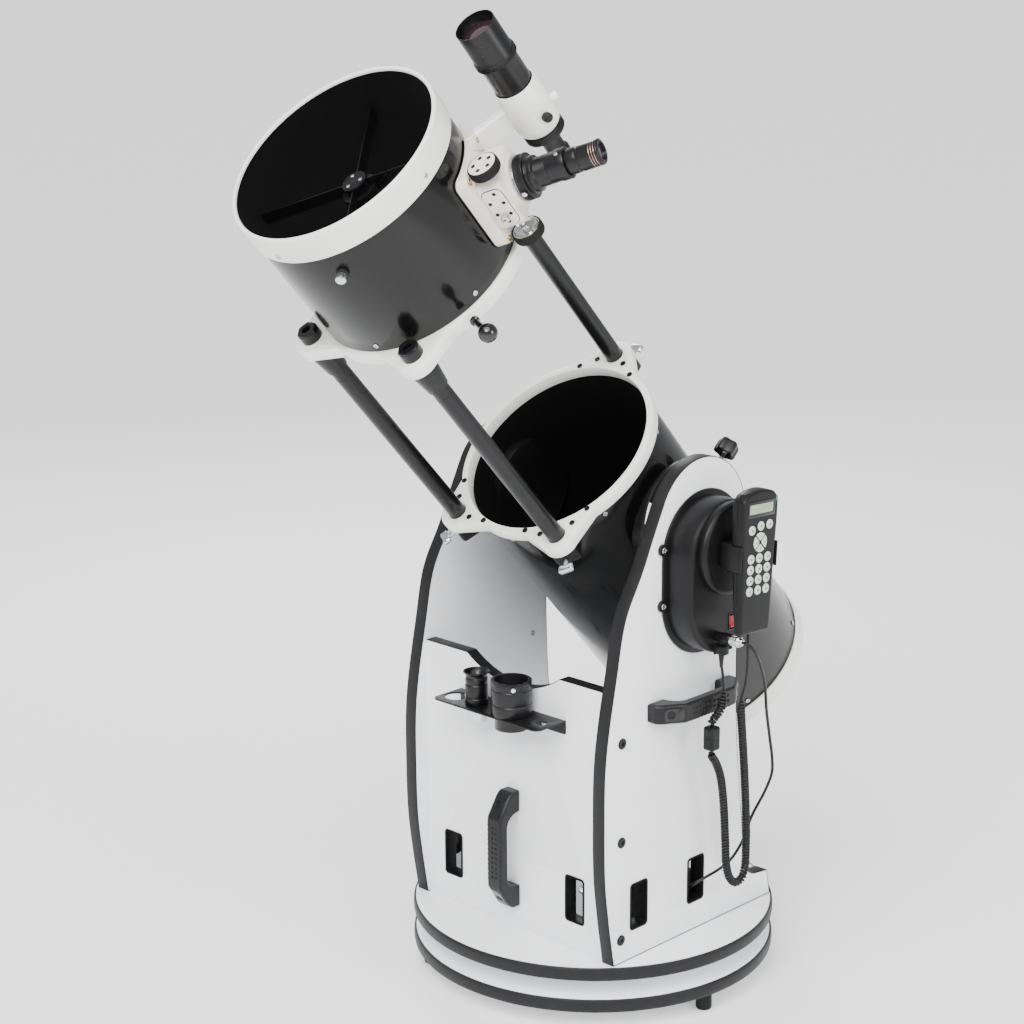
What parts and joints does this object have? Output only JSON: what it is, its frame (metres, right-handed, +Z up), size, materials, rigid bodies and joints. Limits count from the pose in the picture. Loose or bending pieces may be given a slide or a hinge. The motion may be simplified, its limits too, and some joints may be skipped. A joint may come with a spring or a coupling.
{
  "type": "dobsonian telescope",
  "caption": "Collapsible truss reflector telescope on a turning rocker base, with motor box, hand controller, focuser, finder and eyepiece rack.",
  "frame": {"origin": "middle of the underside of the whole object without its free cords, on the floor that the feet stand on", "axes": "+Z up; the tube points towards -Y and up at 47.4 degrees; +X is the side panel with the motor box, on the right seen from the front"},
  "size_m": [0.6114, 1.0516, 1.5029],
  "materials": {
    "white_laminate": "fine pebble melamine laminate on chipboard",
    "foot_rubber": "matte",
    "bearing_plastic": "satin",
    "chrome": "polished plating",
    "black_plastic": "satin moulded texture",
    "black_metal": "satin black anodised",
    "red_plastic": "gloss",
    "key_rubber": "matte moulded",
    "black_tube": "gloss with fine metallic flake outside, matte black inside",
    "white_casting": "gloss white enamel on cast aluminium",
    "white_ring": "gloss white enamel",
    "cream_casting": "pearl cream enamel on cast aluminium",
    "mirror": "aluminised front surface",
    "cord_rubber": "satin"
  },
  "bodies": {
    "ground": {"ground_board": "white_laminate", "foot_1": "foot_rubber", "foot_2": "foot_rubber", "foot_3": "foot_rubber", "azimuth_bearing_ring": "bearing_plastic", "azimuth_pivot_bolt": "chrome"},
    "rocker": {"turning_board": "white_laminate", "azimuth_drive_housing": "black_plastic", "right_side_panel": "white_laminate", "left_side_panel": "white_laminate", "front_panel": "white_laminate", "front_handle": "black_plastic", "right_handle": "black_plastic", "left_handle": "black_plastic", "eyepiece_rack": "black_metal", "motor_cover": "black_plastic", "altitude_motor": "chrome", "controller_holder": "black_plastic", "hand_controller": "black_plastic", "handset_plug": "black_plastic", "handset_lead_top": "cord_rubber", "handset_curl_short": "cord_rubber", "ferrite_block": "black_plastic", "handset_curl_long": "cord_rubber", "handset_lead_end": "cord_rubber", "drive_connector": "chrome", "drive_cable": "cord_rubber"},
    "pinion": {"altitude_pinion": "chrome"},
    "switch_rocker": {"power_switch": "red_plastic"},
    "top_keys": {"controller_top_keys": "key_rubber"},
    "arrow_keys": {"controller_arrow_keys": "key_rubber"},
    "number_keys": {"controller_number_keys": "key_rubber"},
    "spare_eyepiece": {"rack_eyepiece": "black_metal"},
    "spare_adapter": {"rack_adapter": "black_metal"},
    "tube": {"lower_tube": "black_tube", "lower_plate": "white_casting", "rear_ring": "white_ring", "primary_mirror": "mirror", "mirror_cell": "black_metal", "right_altitude_hub": "black_plastic", "left_altitude_hub": "black_plastic", "altitude_gear": "chrome"},
    "clutch": {"clutch_knob": "black_plastic"},
    "lock_1": {"strut_lock_1": "chrome"},
    "lock_2": {"strut_lock_2": "chrome"},
    "lock_3": {"strut_lock_3": "chrome"},
    "upper": {"strut_1": "black_metal", "strut_2": "black_metal", "strut_3": "black_metal", "upper_plate": "white_casting", "front_ring": "white_ring", "upper_tube": "black_tube", "spider": "black_metal", "secondary_mirror": "mirror", "focuser_base": "cream_casting", "finder_bracket": "white_casting", "finder_scope": "black_metal"},
    "focus_tube": {"drawtube": "black_metal"},
    "focus_drive": {"focus_shaft": "chrome"},
    "eyepiece_body": {"eyepiece": "black_metal"}
  },
  "joints": [
    {"name": "azimuth_turn", "type": "hinge", "parent": "ground", "child": "rocker", "pos_m": [-0.016, 0.10641, 0], "axis": [0, 0, 1], "continuous": true},
    {"name": "altitude_tilt", "type": "hinge", "parent": "rocker", "child": "tube", "pos_m": [-0.016, 0.11371, 0.7499], "axis": [-1, 0, 0], "range_deg": [-47.4, 42.6]},
    {"name": "pinion_spin", "type": "hinge", "parent": "rocker", "child": "pinion", "pos_m": [-0.016, 0.11371, 0.6999], "axis": [-1, 0, 0], "range_deg": [-178, 198]},
    {"name": "power_switch_rock", "type": "hinge", "parent": "rocker", "child": "switch_rocker", "pos_m": [0.2385, 0.12571, 0.608], "axis": [0, 1, 0], "range_deg": [0, 16]},
    {"name": "top_keys_press", "type": "slide", "parent": "rocker", "child": "top_keys", "axis": [-1, 0, 0], "range_m": [0, 0.0008], "stiffness_N_per_m": 400},
    {"name": "arrow_keys_press", "type": "slide", "parent": "rocker", "child": "arrow_keys", "axis": [-1, 0, 0], "range_m": [0, 0.0008], "stiffness_N_per_m": 400},
    {"name": "number_keys_press", "type": "slide", "parent": "rocker", "child": "number_keys", "axis": [-1, 0, 0], "range_m": [0, 0.0008], "stiffness_N_per_m": 400},
    {"name": "spare_eyepiece_lift", "type": "slide", "parent": "rocker", "child": "spare_eyepiece", "axis": [0, 0, 1], "range_m": [0, 0.05]},
    {"name": "spare_adapter_lift", "type": "slide", "parent": "rocker", "child": "spare_adapter", "axis": [0, 0, 1], "range_m": [0, 0.04]},
    {"name": "clutch_knob_turn", "type": "hinge", "parent": "tube", "child": "clutch", "pos_m": [0.15615, 0.18438, 0.81488], "axis": [0, 0.7361, 0.6769], "range_deg": [0, 720]},
    {"name": "strut_lock_1_turn", "type": "hinge", "parent": "tube", "child": "lock_1", "pos_m": [-0.016, 0.17282, 0.94934], "axis": [0, 0.7361, 0.6769], "range_deg": [0, 540]},
    {"name": "strut_lock_2_turn", "type": "hinge", "parent": "tube", "child": "lock_2", "pos_m": [-0.11838, -0.06621, 0.72954], "axis": [-0.5736, -0.603, -0.5545], "range_deg": [0, 540]},
    {"name": "strut_lock_3_turn", "type": "hinge", "parent": "tube", "child": "lock_3", "pos_m": [0.08638, -0.06621, 0.72954], "axis": [0.5736, -0.603, -0.5545], "range_deg": [0, 540]},
    {"name": "truss_slide", "type": "slide", "parent": "tube", "child": "upper", "axis": [0, -0.6769, 0.7361], "range_m": [-0.3, 0]},
    {"name": "focus_slide", "type": "slide", "parent": "upper", "child": "focus_tube", "axis": [0.8755, 0.3557, 0.3271], "range_m": [0, 0.035]},
    {"name": "focus_knob_turn", "type": "hinge", "parent": "upper", "child": "focus_drive", "pos_m": [0.16716, -0.26847, 1.25922], "axis": [0, -0.6769, 0.7361], "range_deg": [0, 502]},
    {"name": "eyepiece_lift", "type": "slide", "parent": "focus_tube", "child": "eyepiece_body", "axis": [0.8755, 0.3557, 0.3271], "range_m": [0, 0.035]}
  ],
  "couplings": [
    {"joint": "pinion_spin", "follows": "altitude_tilt", "ratio": -4.1667},
    {"joint": "focus_knob_turn", "follows": "focus_slide", "rad_per_m": 250}
  ]
}
